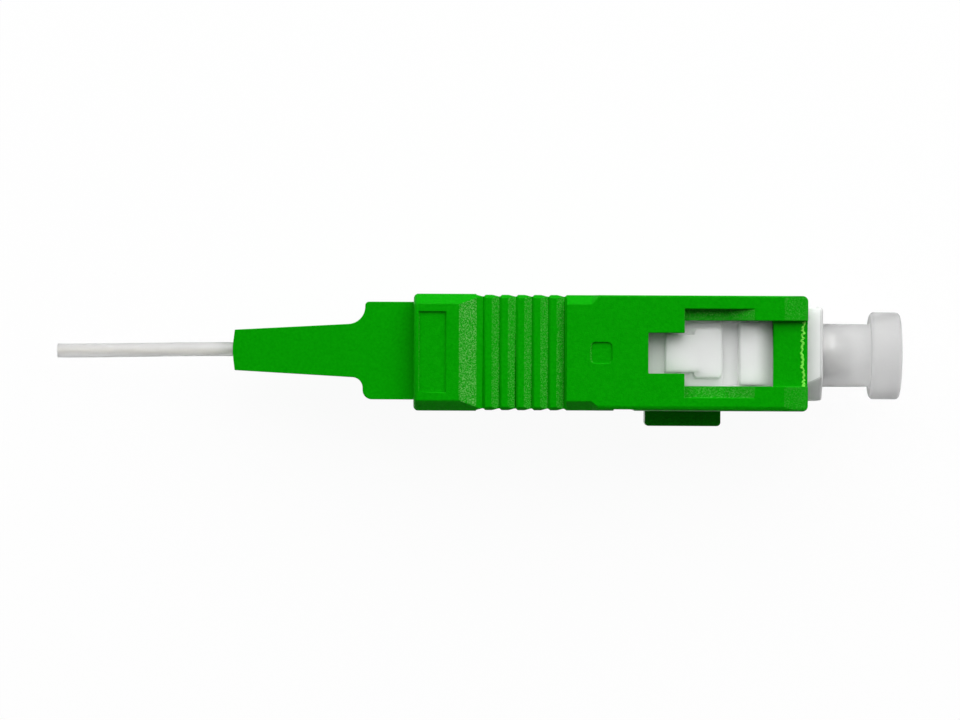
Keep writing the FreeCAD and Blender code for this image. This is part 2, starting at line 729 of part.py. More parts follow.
def ferrule():
    """Zirconia ferrule with a conical lead, a tip polished at an angle, and the fibre's hole."""
    body = new_body("ferrule", ferrule_tip)
    radius = size.ferrule_diameter / 2
    hole = size.glass_diameter / 2 + size.layer_gap
    rear = -size.ferrule_length
    revolve(body, "Revolution", "rod", [
        (0.0, hole), (0.0, radius - size.tip_chamfer_height), (-size.tip_chamfer_length, radius),
        (rear, radius), (rear, size.entry_cone_diameter / 2), (rear + size.entry_cone_length, hole),
    ])
    lean = math.tan(math.radians(size.polish_angle.value))
    land = radius - size.tip_chamfer_height
    back = land * lean
    polish = [
        (0.0, -land), (-back * 2, land), (-back * 2, radius + CUT_MARGIN),
        (CUT_MARGIN, radius + CUT_MARGIN), (CUT_MARGIN, -land),
    ]
    sketch = outline(body, "polish_outline", "XY", [polish])
    feature(body, "Pocket", "angled_polish", sketch, size.ferrule_diameter + CUT_MARGIN, symmetric=True)
    return body


def ferrule_flange():
    """Metal flange pressed on the ferrule: notched collar, spring pilot and tail tube for the buffer."""
    body = new_body("ferrule_flange", collar_front)
    collar = size.collar_diameter / 2
    seat = size.ferrule_diameter / 2
    passage = size.buffer_diameter / 2 + size.buffer_gap
    hub_rear = -size.collar_length - size.hub_length
    tail_end = hub_rear - size.tail_length
    revolve(body, "Revolution", "turned_body", [
        (0.0, seat), (0.0, collar - size.collar_chamfer), (-size.collar_chamfer, collar),
        (-size.collar_length, collar), (-size.collar_length, size.hub_diameter / 2),
        (hub_rear, size.hub_diameter / 2), (hub_rear, size.tail_diameter / 2),
        (tail_end, size.tail_diameter / 2), (tail_end, passage), (-size.ferrule_seat, passage),
        (-size.ferrule_seat, seat),
    ])
    notch_y = size.lug_width / 2 + size.notch_gap
    floor = collar - size.collar_notch_depth
    notch = box_corners(-notch_y, floor, notch_y, collar + CUT_MARGIN)
    sketch = outline(body, "notch_outline", "YZ", [notch, mirrored(notch)], offset=CUT_MARGIN)
    feature(body, "Pocket", "notches", sketch, size.collar_length + CUT_MARGIN)
    return body


def spring():
    """Compression spring between the flange and the stop ring, at its fitted length, wire as a hexagon."""
    body = new_body("spring", ring_front + size.spring_wire / 2)
    section = []
    for number in range(WIRE_SIDES):
        angle = 2 * math.pi * (number + 0.5) / WIRE_SIDES
        section.append((size.spring_wire * (math.cos(angle) / 2),
                        size.spring_diameter / 2 + size.spring_wire * (math.sin(angle) / 2)))
    sketch = outline(body, "wire_section", "XZ", [section])
    coil = body.newObject("PartDesign::AdditiveHelix", "coil")
    coil.Profile = sketch
    coil.ReferenceAxis = (sketch, ["H_Axis"])
    coil.Mode = "height-turns-angle"
    coil.Height = (spring_length - size.spring_wire).value
    bind(coil, "Height", spring_length - size.spring_wire)
    coil.Angle = 0.0
    coil.Turns = size.spring_turns.value
    bind(coil, "Turns", size.spring_turns)
    document.recompute()
    return body


# ---------------------------------------------------------------- stop ring, guide tube and boot

def stop_ring():
    """Ring that closes the spring chamber: ears for the snap windows, flange, and grooved barrel."""
    body = new_body("stop_ring", ring_front)
    insert_length = size.ring_insert
    outer = size.chamber_bore / 2 - size.ring_gap
    barrel = size.barrel_diameter / 2
    flange_rear = -insert_length - size.ring_flange_length
    rear = barrel_rear - ring_front
    bore_rear = bore_end - ring_front
    revolve(body, "Revolution", "turned_ring", [
        (0.0, size.ring_bore / 2), (0.0, outer), (-insert_length, outer),
        (-insert_length, size.ring_flange_diameter / 2), (flange_rear, size.ring_flange_diameter / 2),
        (flange_rear, barrel), (rear, barrel), (rear, size.tube_bore / 2),
        (bore_rear, size.tube_bore / 2), (bore_rear, size.ring_bore / 2),
    ])
    groove_front = flange_rear - size.barrel_groove_pitch / 2
    before = body.Shape.Volume
    groove = revolve(body, "Groove", "barrel_groove", box_corners(
        groove_front - size.barrel_groove_width, barrel - size.barrel_groove_depth,
        groove_front, barrel + CUT_MARGIN))
    pattern = body.newObject("PartDesign::LinearPattern", "barrel_grooves")
    pattern.Originals = [groove]
    pattern.Direction = (groove.Profile[0], ["H_Axis"])
    pattern.Reversed = True
    pattern.Mode = "Spacing"
    pattern.Offset = size.barrel_groove_pitch.value
    bind(pattern, "Offset", size.barrel_groove_pitch)
    pattern.Occurrences = int(size.barrel_groove_count.value)
    bind(pattern, "Occurrences", size.barrel_groove_count)
    body.Tip = pattern
    document.recompute()
    check_change(body, "Pocket", "barrel_grooves", before)
    ear = [
        (-size.ear_place, outer - size.ring_gap), (-size.ear_place, outer),
        (-size.ear_place - size.ear_length, size.ear_reach),
        (-size.ear_place - size.ear_length, outer - size.ring_gap),
    ]
    sketch = outline(body, "ear_outline", "XY", [ear, mirrored(ear)])
    feature(body, "Pad", "ears", sketch, size.ear_width, symmetric=True)
    return body


def guide_tube():
    """Soft tube in the stop ring's rear bore that guides the buffered fibre."""
    body = new_body("guide_tube", bore_end)
    length = bore_end - barrel_rear
    outer = size.tube_bore / 2 - size.layer_gap
    inner = size.tube_bore / 2 - size.tube_wall
    revolve(body, "Revolution", "tube", box_corners(-length, inner, 0.0, outer))
    return body


def boot():
    """Boot with a square base, stepped in to a neck on two sides and tapered evenly on the other two."""
    body = new_body("boot", boot_front)
    shoulder = boot_shoulder_place - boot_front
    plain_shoulder = shoulder + size.boot_step_slip
    tail = boot_tail - boot_front
    base = size.boot_width / 2
    root = size.neck_root_width / 2
    end = size.neck_tail_width / 2
    corner = tail + size.neck_tail_bulge
    plan = outline(body, "plan_outline", "XY", [[
        (0.0, base), (plain_shoulder, base, size.plain_shoulder_radius),
        (plain_shoulder, root, size.plain_hollow_radius), (corner, end),
        (tail, 0.0, size.neck_tail_round), (corner, -end), (shoulder, -root, size.key_hollow_radius),
        (shoulder, -base, size.key_shoulder_radius), (0.0, -base),
    ]])
    feature(body, "Pad", "plan_form", plan, size.boot_height, symmetric=True)
    half = size.boot_height / 2
    tip = size.neck_tail_height / 2
    waste = [
        (0.0, half), (shoulder, half, size.boot_brow_radius), (tail, tip),
        (tail - CUT_MARGIN, tip), (tail - CUT_MARGIN, half + CUT_MARGIN), (0.0, half + CUT_MARGIN),
    ]
    sketch = outline(body, "taper_waste", "XZ", [waste, mirrored(waste)])
    feature(body, "Pocket", "taper", sketch, size.boot_width + CUT_MARGIN, symmetric=True)
    barrel = size.barrel_diameter / 2 + size.barrel_gap
    fibre = size.buffer_diameter / 2 + size.boot_fibre_gap
    step = -size.barrel_length - size.seat_gap
    revolve(body, "Groove", "barrel_bore", [
        (CUT_MARGIN, 0.0), (CUT_MARGIN, barrel), (step, barrel), (step, fibre),
        (tail - CUT_MARGIN, fibre), (tail - CUT_MARGIN, 0.0),
    ])
    return body


# ---------------------------------------------------------------- fibre and dust cap

def layer(label, front, outer_diameter, inner_diameter):
    """One layer of the fibre, from its stripped front to the cut end behind the boot."""
    body = new_body(label, front)
    length = front - fibre_end
    if inner_diameter is None:
        corners = box_corners(-length, 0.0, 0.0, outer_diameter / 2)
    else:
        corners = box_corners(-length, inner_diameter / 2 + size.layer_gap, 0.0, outer_diameter / 2)
    revolve(body, "Revolution", label + "_rod", corners)
    return body


def dust_cap():
    """Soft translucent cap: drafted stem in the nose bore, round head, blind bore for the ferrule."""
    inner_end = -size.cap_stem_inside
    body = new_body("dust_cap", inner_end)
    stem = size.cap_stem_diameter / 2
    length = size.cap_stem_inside + size.cap_stem_outside
    top = length + size.cap_head_length
    head = size.cap_head_diameter / 2
    bore = size.ferrule_diameter / 2 + size.cap_bore_gap
    depth = size.cap_stem_inside + size.ferrule_reach + size.cap_tip_gap
    chamfer = size.cap_head_chamfer
    revolve(body, "Revolution", "cap", [
        (0.0, bore), (0.0, stem - size.cap_chamfer), (size.cap_chamfer, stem),
        (length, stem - size.cap_stem_draft),
        (length, head - chamfer), (length + chamfer, head), (top - size.cap_crown - chamfer, head),
        (top - size.cap_crown, head - chamfer), (top, 0.0), (depth, 0.0), (depth, bore),
    ])
    return body


def build():
    buffer_front = ferrule_rear - size.buffer_start
    coating_front = ferrule_rear - size.coating_start
    return [
        outer_housing(),
        inner_housing(),
        ferrule(),
        ferrule_flange(),
        spring(),
        stop_ring(),
        guide_tube(),
        boot(),
        layer("fibre_buffer", buffer_front, size.buffer_diameter, size.coating_diameter),
        layer("coated_fibre", coating_front, size.coating_diameter, size.glass_diameter),
        layer("glass_fibre", ferrule_tip - size.layer_gap * 2, size.glass_diameter, None),
        dust_cap(),
    ]


def write(pieces):
    """Check every object and write each piece's solid."""
    for item in document.Objects:
        if "Invalid" in item.State or "Error" in item.State:
            raise RuntimeError(f"{item.Name} failed: {item.State}")
    os.makedirs("parts", exist_ok=True)
    for piece in pieces:
        shape = piece.Shape
        if shape.isNull() or not shape.isValid():
            raise RuntimeError(f"{piece.Label} has no valid shape")
        shape.exportStep(f"parts/{piece.Label}.step")
        low = shape.BoundBox
        print(f"{piece.Label}: {len(shape.Solids)} solid, {shape.Volume:.4f} mm3, "
              f"X {low.XMin:.3f} {low.XMax:.3f}, Y {low.YMin:.3f} {low.YMax:.3f}, "
              f"Z {low.ZMin:.3f} {low.ZMax:.3f}")


write(build())
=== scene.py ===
import json
import math
import random

import bmesh
import bpy
from mathutils import Matrix, Vector, noise
from mathutils.bvhtree import BVHTree
from mathutils.kdtree import KDTree

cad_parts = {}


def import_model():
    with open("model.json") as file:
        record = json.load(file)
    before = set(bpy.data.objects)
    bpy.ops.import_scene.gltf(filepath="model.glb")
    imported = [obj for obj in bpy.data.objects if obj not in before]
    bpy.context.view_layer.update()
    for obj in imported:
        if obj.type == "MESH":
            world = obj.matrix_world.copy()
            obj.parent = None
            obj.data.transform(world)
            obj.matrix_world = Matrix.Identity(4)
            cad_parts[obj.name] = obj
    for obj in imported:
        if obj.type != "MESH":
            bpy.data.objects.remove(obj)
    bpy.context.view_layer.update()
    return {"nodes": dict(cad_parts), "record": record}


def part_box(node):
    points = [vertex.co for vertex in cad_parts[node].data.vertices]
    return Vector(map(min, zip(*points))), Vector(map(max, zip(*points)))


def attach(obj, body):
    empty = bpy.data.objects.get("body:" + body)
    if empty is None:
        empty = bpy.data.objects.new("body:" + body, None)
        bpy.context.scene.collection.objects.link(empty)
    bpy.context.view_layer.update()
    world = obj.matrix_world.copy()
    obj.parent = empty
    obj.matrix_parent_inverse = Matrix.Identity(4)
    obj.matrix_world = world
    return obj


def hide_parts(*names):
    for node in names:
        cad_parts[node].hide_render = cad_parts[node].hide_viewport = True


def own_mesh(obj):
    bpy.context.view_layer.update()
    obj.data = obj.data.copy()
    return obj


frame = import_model()

# Lengths are in millimetres, apart from those of the camera and the lamps, and MM turns them into Blender's
# metres. Places come from the frame.
MM = 0.001

slot_of = {part["node"]: part["material_slot"] for part in frame["record"]["subparts"]}
body_of = {node: body for body, nodes in frame["record"]["behaviour"]["bodies"].items() for node in nodes}


def box_of(node):
    """Lowest and highest corner of a CAD node, in millimetres."""
    return [Vector(corner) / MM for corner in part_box(node)]


# ---------------------------------------------------------------- materials

# The noise texture keeps nearly all its values between these two.
NOISE_LOW = 0.3
NOISE_HIGH = 0.7


def new_material(name):
    """A material, its node tree and its Principled shader."""
    material = bpy.data.materials.new(name)
    material.use_nodes = True
    tree = material.node_tree
    return material, tree, tree.nodes["Principled BSDF"]


def link(tree, source, output, target, socket):
    tree.links.new(source.outputs[output], target.inputs[socket])


def grains(tree, size_mm, detail=3.0, roughness=0.55):
    """Noise whose grains are about size_mm across."""
    coordinates = tree.nodes.new("ShaderNodeTexCoord")
    texture = tree.nodes.new("ShaderNodeTexNoise")
    texture.inputs["Scale"].default_value = 1.0 / (size_mm * MM)
    texture.inputs["Detail"].default_value = detail
    texture.inputs["Roughness"].default_value = roughness
    link(tree, coordinates, "Object", texture, "Vector")
    return texture


def remap(tree, source, to_low, to_high, low=NOISE_LOW, high=NOISE_HIGH):
    """The source's "Fac", taken from the range low to high over to another range."""
    ramp = tree.nodes.new("ShaderNodeMapRange")
    ramp.inputs["From Min"].default_value = low
    ramp.inputs["From Max"].default_value = high
    ramp.inputs["To Min"].default_value = to_low
    ramp.inputs["To Max"].default_value = to_high
    link(tree, source, "Fac", ramp, "Value")
    return ramp


def attribute(tree, name):
    """A piece's own attribute. It is 0 on a piece that has none of this name."""
    node = tree.nodes.new("ShaderNodeAttribute")
    node.attribute_name = name
    return node


def blend_colours(tree, factor, output, low, high):
    """Node that goes from low, a colour or such a node, to the colour high, by the factor's output."""
    mix = tree.nodes.new("ShaderNodeMix")
    mix.data_type = "RGBA"
    mix.inputs["B"].default_value = (*high, 1.0)
    if isinstance(low, tuple):
        mix.inputs["A"].default_value = (*low, 1.0)
    else:
        link(tree, low, "Result", mix, "A")
    link(tree, factor, output, mix, "Factor")
    return mix


def combine(tree, operation, first, second):
    """A Math node on two (node, output) pairs."""
    result = tree.nodes.new("ShaderNodeMath")
    result.operation = operation
    link(tree, *first, result, 0)
    link(tree, *second, result, 1)
    return result


def show_mix(tree, first, second):
    """Mix Shader node between two shaders, which the material then shows. Its factor is still to be set."""
    mix = tree.nodes.new("ShaderNodeMixShader")
    link(tree, first, 0, mix, 1)
    link(tree, second, 0, mix, 2)
    link(tree, mix, "Shader", tree.nodes["Material Output"], "Surface")
    return mix


def add_bump(tree, shader, layers, strength=None):
    """Chain of bump nodes, one for each (texture, depth in mm)."""
    previous = None
    for texture, depth_mm in layers:
        bump = tree.nodes.new("ShaderNodeBump")
        bump.inputs["Distance"].default_value = depth_mm * MM
        if strength:
            link(tree, strength, 0, bump, "Strength")
        link(tree, texture, "Fac", bump, "Height")
        if previous:
            link(tree, previous, "Normal", bump, "Normal")
        previous = bump
    link(tree, previous, "Normal", shader, "Normal")


# The broad grain's size and depth and the size of the painted glint specks are times the finish's own grain.
# PLAIN_GRAIN is how much of its grain a face has that isn't textured.
DRIFT_GRAIN = 0.17
ROUGHNESS_DRIFT = 0.05
BROAD_GRAIN = 6
BROAD_DEPTH = 0.5
GLINT_GRAIN = 0.85
GLINT_FROM = 0.48
GLINT_TO = 0.62
PLAIN_GRAIN = 0.4
SCATTER_FORWARD = 0.6
CLEAR_COLOUR = (0.93, 0.93, 0.93)
CLEAR_ROUGHNESS = 0.7
CLEAR_IOR = 1.25


def moulded_plastic(name, low, high, roughness, specular, grain_mm, grain_depth_mm,
                    reach_mm=None, tint=None, painted_light=None, painted_glints=None, clear=None):
    """Moulded plastic: the colour drifts from low to high, and the skin carries the mould's fine texture.

    Light goes reach_mm into it, and clear is the share that passes straight through. A piece's attribute for
    painted light takes the colour over to a lighter one, which stands in for light on faces that sit in
    shade. Its "texture" attribute brings out the grain and the painted glints on it: lighter specks that
    stand in for the lamps' glints.
    """
    material, tree, shader = new_material(name)
    drift = remap(tree, grains(tree, DRIFT_GRAIN), 0.0, 1.0)
    colour = blend_colours(tree, drift, "Result", low, high)
    # Painted light: where the attribute is set, the colour goes over to a lighter copy of the same plastic,
    # which stands in for light on faces in shade.
    if painted_light:
        colour = blend_colours(tree, attribute(tree, "painted_light"), "Fac", colour, painted_light)
    strength = None
    # Painted glints: the lighter colour mixed in over the specks stands in for the lamps' glints, where the
    # texture attribute is set.
    if painted_glints:
        grain_and_glints = attribute(tree, "texture")
        glint_noise = grains(tree, grain_mm * GLINT_GRAIN, 2.0, 0.8)
        glint_specks = remap(tree, glint_noise, 0.0, 1.0, GLINT_FROM, GLINT_TO)
        painted_glint_share = combine(tree, "MULTIPLY", (grain_and_glints, "Fac"), (glint_specks, "Result"))
        colour = blend_colours(tree, painted_glint_share, "Value", colour, painted_glints)
        strength = remap(tree, grain_and_glints, PLAIN_GRAIN, 1.0, 0.0, 1.0)
    link(tree, colour, "Result", shader, "Base Color")
    fine = grains(tree, grain_mm, 3.0, 0.6)
    rough = remap(tree, fine, roughness - ROUGHNESS_DRIFT, roughness + ROUGHNESS_DRIFT)
    link(tree, rough, "Result", shader, "Roughness")
    broad = grains(tree, grain_mm * BROAD_GRAIN, 2.0)
    add_bump(tree, shader, [(broad, grain_depth_mm * BROAD_DEPTH), (fine, grain_depth_mm)], strength)
    shader.inputs["Specular IOR Level"].default_value = specular
    if tint:
        shader.inputs["Specular Tint"].default_value = (*tint, 1.0)
    if reach_mm:
        shader.inputs["Subsurface Weight"].default_value = 1.0
        shader.inputs["Subsurface Radius"].default_value = (1.0, 1.0, 1.0)
        shader.inputs["Subsurface Scale"].default_value = reach_mm * MM
        shader.inputs["Subsurface Anisotropy"].default_value = SCATTER_FORWARD
    if clear:
        glass = tree.nodes.new("ShaderNodeBsdfGlass")
        glass.inputs["Color"].default_value = (*CLEAR_COLOUR, 1.0)
        glass.inputs["Roughness"].default_value = CLEAR_ROUGHNESS
        glass.inputs["IOR"].default_value = CLEAR_IOR
        show_mix(tree, shader, glass).inputs[0].default_value = clear
    return material


METAL_GRAIN = 0.4
METAL_DULL = 0.92
METAL_ROUGHER = 0.08


def bare_metal(name, colour, roughness):
    """Bare metal: its tone and its roughness drift a little."""
    material, tree, shader = new_material(name)
    shader.inputs["Metallic"].default_value = 1.0
    drift = grains(tree, METAL_GRAIN)
    tone = remap(tree, drift, 0.0, 1.0)
    dull = tuple(channel * METAL_DULL for channel in colour)
    link(tree, blend_colours(tree, tone, "Result", dull, colour), "Result", shader, "Base Color")
    rough = remap(tree, drift, roughness - ROUGHNESS_DRIFT, roughness + METAL_ROUGHER)
    link(tree, rough, "Result", shader, "Roughness")
    return material


def grey(level):
    return (level, level, level)


GREEN_LOW = (0.0003, 0.27, 0.0002)
GREEN_HIGH = (0.0022, 0.325, 0.0012)
GREEN_TINT = (0.5, 1.0, 0.35)
# Painted highlight: the lighter green that the mould flash takes all over stands in for the light its ragged
# edge catches.
GREEN_PAINTED_HIGHLIGHT = (0.2, 0.75, 0.08)
# Painted glints: this lighter green on the textured housing faces stands in for the lamps' glints.
GREEN_PAINTED_GLINT = (0.14, 0.47, 0.10)

MATERIALS = {
    "green_housing": moulded_plastic(
        "green_housing", GREEN_LOW, GREEN_HIGH, roughness=0.2, specular=0.04,
        grain_mm=0.09, grain_depth_mm=0.045, tint=GREEN_TINT, painted_light=GREEN_PAINTED_HIGHLIGHT, painted_glints=GREEN_PAINTED_GLINT),
    "green_boot": moulded_plastic(
        "green_boot", GREEN_LOW, GREEN_HIGH, roughness=0.3, specular=0.05,
        grain_mm=0.3, grain_depth_mm=0.004, tint=GREEN_TINT),
    # On the plug body inside the housing the white goes to grey(0.90), far above the nose's own white:
    # painted light that lifts the shade in the windows.
    "white_plastic": moulded_plastic(
        "white_plastic", grey(0.62), grey(0.65), roughness=0.35, specular=0.3,
        grain_mm=0.3, grain_depth_mm=0.002, reach_mm=1.2, painted_light=grey(0.90), clear=0.12),
    "cap_plastic": moulded_plastic(
        "cap_plastic", grey(0.48), grey(0.51), roughness=0.4, specular=0.3,
        grain_mm=0.5, grain_depth_mm=0.004, reach_mm=6.0, clear=0.65),
    "fibre_jacket": moulded_plastic(
        "fibre_jacket", grey(0.64), grey(0.66), roughness=0.45, specular=0.25,
        grain_mm=0.15, grain_depth_mm=0.001, reach_mm=6.0, clear=0.6),
    "zirconia": moulded_plastic(
        "zirconia", (0.86, 0.86, 0.84), (0.89, 0.89, 0.87), roughness=0.12, specular=0.6,
        grain_mm=0.2, grain_depth_mm=0.0004, reach_mm=1.5),
    "ptfe": moulded_plastic(
        "ptfe", grey(0.75), grey(0.79), roughness=0.5, specular=0.3,
        grain_mm=0.2, grain_depth_mm=0.001),
    "fibre_coating": moulded_plastic(
        "fibre_coating", (0.66, 0.62, 0.52), (0.70, 0.66, 0.56), roughness=0.25, specular=0.5,
        grain_mm=0.05, grain_depth_mm=0.0002),
    "silica": moulded_plastic(
        "silica", (0.70, 0.75, 0.77), (0.75, 0.80, 0.81), roughness=0.1, specular=0.5,
        grain_mm=0.05, grain_depth_mm=0.0001),
    "flange_metal": bare_metal("flange_metal", (0.62, 0.62, 0.60), roughness=0.3),
    "spring_steel": bare_metal("spring_steel", (0.58, 0.57, 0.55), roughness=0.28),
    "ring_metal": bare_metal("ring_metal", (0.66, 0.64, 0.60), roughness=0.32),
}

for node, piece in frame["nodes"].items():
    piece.data.materials.clear()
    piece.data.materials.append(MATERIALS[slot_of[node]])


# ---------------------------------------------------------------- mesh helpers

def new_piece(name, mesh_data, node):
    """A piece that rides on a CAD node's body and takes its finish."""
    mesh = bpy.data.meshes.new(name)
    mesh_data.to_mesh(mesh)
    mesh_data.free()
    piece = bpy.data.objects.new(name, mesh)
    bpy.context.scene.collection.objects.link(piece)
    mesh.materials.append(MATERIALS[slot_of[node]])
    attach(piece, body_of[node])
    return piece


def smooth(piece, angle):
    """Shade a piece smooth, apart from its edges that turn by more than this angle in degrees."""
    piece.data.shade_smooth()
    piece.data.set_sharp_from_angle(angle=math.radians(angle))


# An edge that turns by more than SHARP_ANGLE is rounded. One over CREASE_ANGLE between two faces wider than
# FLAT_WIDTH parts two flat faces. One under LEVEL_ANGLE crowds no other edge, and one under FLAT_ANGLE goes.
# Edges crowd each other when they run the same way (ALIGNED) side by side (BESIDE), closer together than
# CROWDING times the rounding's width.
SHARP_ANGLE = math.radians(12.0)
CREASE_ANGLE = math.radians(2.5)
LEVEL_ANGLE = math.radians(1.0)
FLAT_ANGLE = math.radians(0.5)
FLAT_WIDTH = 0.6
WELD = 2e-4
CROWDING = 1.5
BESIDE = 0.7
ALIGNED = 0.7


def is_crease(edge):
    """Whether an edge that isn't rounded parts two flat faces, and not two facets of a curved one."""
    angle = edge.calc_face_angle(0.0)
    if angle > SHARP_ANGLE:
        return True
    narrow = FLAT_WIDTH * MM * edge.calc_length()
    return angle > CREASE_ANGLE and min(face.calc_area() for face in edge.link_faces) > narrow


def crowded_edges(mesh_data, room):
    """Sharp edges that run beside another edge, with less than this room between them."""
    samples = []
    for edge in mesh_data.edges:
        if edge.calc_face_angle(0.0) < LEVEL_ANGLE:
            continue
        start, end = (vertex.co for vertex in edge.verts)
        way = (end - start).normalized()
        count = max(2, int((end - start).length / room * 2))
        samples.extend((start.lerp(end, (place + 0.5) / count), way, edge) for place in range(count))
    tree = KDTree(len(samples))
    for index, (point, way, edge) in enumerate(samples):
        tree.insert(point, index)
    tree.balance()
    crowded = set()
    for point, way, edge in samples:
        if edge.calc_face_angle(0.0) < SHARP_ANGLE:
            continue
        for place, index, gap in tree.find_range(point, room):
            other_way, other = samples[index][1:]
            beside = gap > 0 and abs((place - point).dot(way)) < BESIDE * gap
            if beside and abs(way.dot(other_way)) > ALIGNED and not set(edge.verts) & set(other.verts):
                crowded.add(edge.index)
    return crowded


def bevelled(plain, spared, width):
    """Copy of a mesh with its sharp edges rounded, apart from the spared ones."""
    mesh_data = plain.copy()
    edges = []
    for edge in mesh_data.edges:
        if edge.calc_face_angle(0.0) > SHARP_ANGLE and edge.index not in spared:
            edges.append(edge)
        else:
            edge.smooth = not is_crease(edge)
    bmesh.ops.bevel(mesh_data, geom=edges, offset=width, offset_type="OFFSET", segments=2, profile=0.5,
                    affect="EDGES", clamp_overlap=False, loop_slide=False)
    return mesh_data


def soft_edged(node, name, edge_mm, part_at=None):
    """Piece in place of a CAD node: its mesh with the sharp edges rounded off, where there is room for that.

    The edges next to a corner that would come out as a spike stay sharp too. A face that crosses part_at, a
    place along the plug, is parted there.
    """
    width = edge_mm * MM
    plain = bmesh.new()
    plain.from_mesh(frame["nodes"][node].data)
    bmesh.ops.remove_doubles(plain, verts=plain.verts, dist=WELD * MM)
    bmesh.ops.dissolve_limit(plain, angle_limit=FLAT_ANGLE, verts=plain.verts, edges=plain.edges,
                             delimit={"NORMAL"})
    if part_at is not None:
        bmesh.ops.bisect_plane(plain, geom=plain.verts[:] + plain.edges[:] + plain.faces[:],
                               plane_co=(part_at * MM, 0, 0), plane_no=(1, 0, 0))
    for edge in plain.edges:
        edge.smooth = True
    plain.verts.index_update()
    plain.edges.index_update()
    plain.verts.ensure_lookup_table()
    surface = BVHTree.FromBMesh(plain)
    corners = KDTree(len(plain.verts))
    for vertex in plain.verts:
        corners.insert(vertex.co, vertex.index)
    corners.balance()
    spared = crowded_edges(plain, width * CROWDING)
    while True:
        mesh_data = bevelled(plain, spared, width)
        spikes = [vertex.co.copy() for vertex in mesh_data.verts
                  if surface.find_nearest(vertex.co)[3] > width / 2]
        count = len(spared)
        for spike in spikes:
            corner = plain.verts[corners.find(spike)[1]]
            spared.update(edge.index for edge in corner.link_edges)
        if len(spared) == count:
            break
        mesh_data.free()
    plain.free()
    low, high = (corner * MM for corner in box_of(node))
    for vertex in mesh_data.verts:
        vertex.co = Vector(min(max(place, least), most) for place, least, most in zip(vertex.co, low, high))
    for face in mesh_data.faces:
        face.smooth = True
    piece = new_piece(name, mesh_data, node)
    by_area = piece.modifiers.new("by_area", "WEIGHTED_NORMAL")
    by_area.keep_sharp = True
    by_area.weight = 100
    bpy.context.view_layer.objects.active = piece
    bpy.ops.object.modifier_apply(modifier=by_area.name)
    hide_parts(node)
    return piece


def rounded(corners, step_degrees):
    """Points along a profile of corners (x, r, radius), each corner turned into an arc in such steps."""
    points = []
    count = len(corners)
    for index, (across, up, radius) in enumerate(corners):
        here = Vector((across, up))
        if not radius or index in (0, count - 1):
            points.append(here)
            continue
        back = (Vector(corners[index - 1][:2]) - here).normalized()
        ahead = (Vector(corners[index + 1][:2]) - here).normalized()
        half = back.angle(ahead) / 2
        centre = here + (back + ahead).normalized() * (radius / math.sin(half))
        start = here + back * (radius / math.tan(half)) - centre
        turn = start.angle_signed(here + ahead * (radius / math.tan(half)) - centre)
        steps = max(2, round(abs(math.degrees(turn)) / step_degrees))
        for place in range(steps + 1):
            swing = -turn * place / steps
            points.append(centre + Vector((start.x * math.cos(swing) - start.y * math.sin(swing),
                                           start.x * math.sin(swing) + start.y * math.cos(swing))))
    return points


ON_AXIS = 1e-6
LATHE_WELD = 1e-4
LATHE_SEGMENTS = 96


def lathe(points, segments=LATHE_SEGMENTS):
    """Solid turned about the plug's axis from profile points (x, r) in millimetres."""
    mesh_data = bmesh.new()
    rings = []
    for point in points:
        if point.y < ON_AXIS:
            rings.append([mesh_data.verts.new((point.x * MM, 0.0, 0.0))] * segments)
            continue
        ring = []
        for place in range(segments):
            angle = 2 * math.pi * place / segments
            ring.append(mesh_data.verts.new((point.x * MM, point.y * math.cos(angle) * MM,
                                             point.y * math.sin(angle) * MM)))
        rings.append(ring)
    for low, high in zip(rings, rings[1:]):
        for place in range(segments):
            after = (place + 1) % segments
            corners = [low[place], low[after], high[after], high[place]]
            distinct = list(dict.fromkeys(corners))
            if len(distinct) > 2:
                mesh_data.faces.new(distinct)
    bmesh.ops.recalc_face_normals(mesh_data, faces=mesh_data.faces)
    return mesh_data


# ---------------------------------------------------------------- pieces

CAP_STEM_RADIUS = 2.07
CAP_STEM_DRAFT = 0.04
CAP_STEM_ROUND = 0.3
CAP_BORE_RADIUS = 1.27
CAP_BORE_DEPTH = 5.5
CAP_BORE_ROUND = 0.1
CAP_HEAD_LENGTH = 2.08
CAP_HEAD_ROUND = 0.28
CAP_HEAD_FILLET = 0.12
CAP_CROWN = 0.14
CAP_CROWN_ROUND = 2.0
CAP_TILT = -0.3
CAP_SHIFT = (-0.02, -0.075)


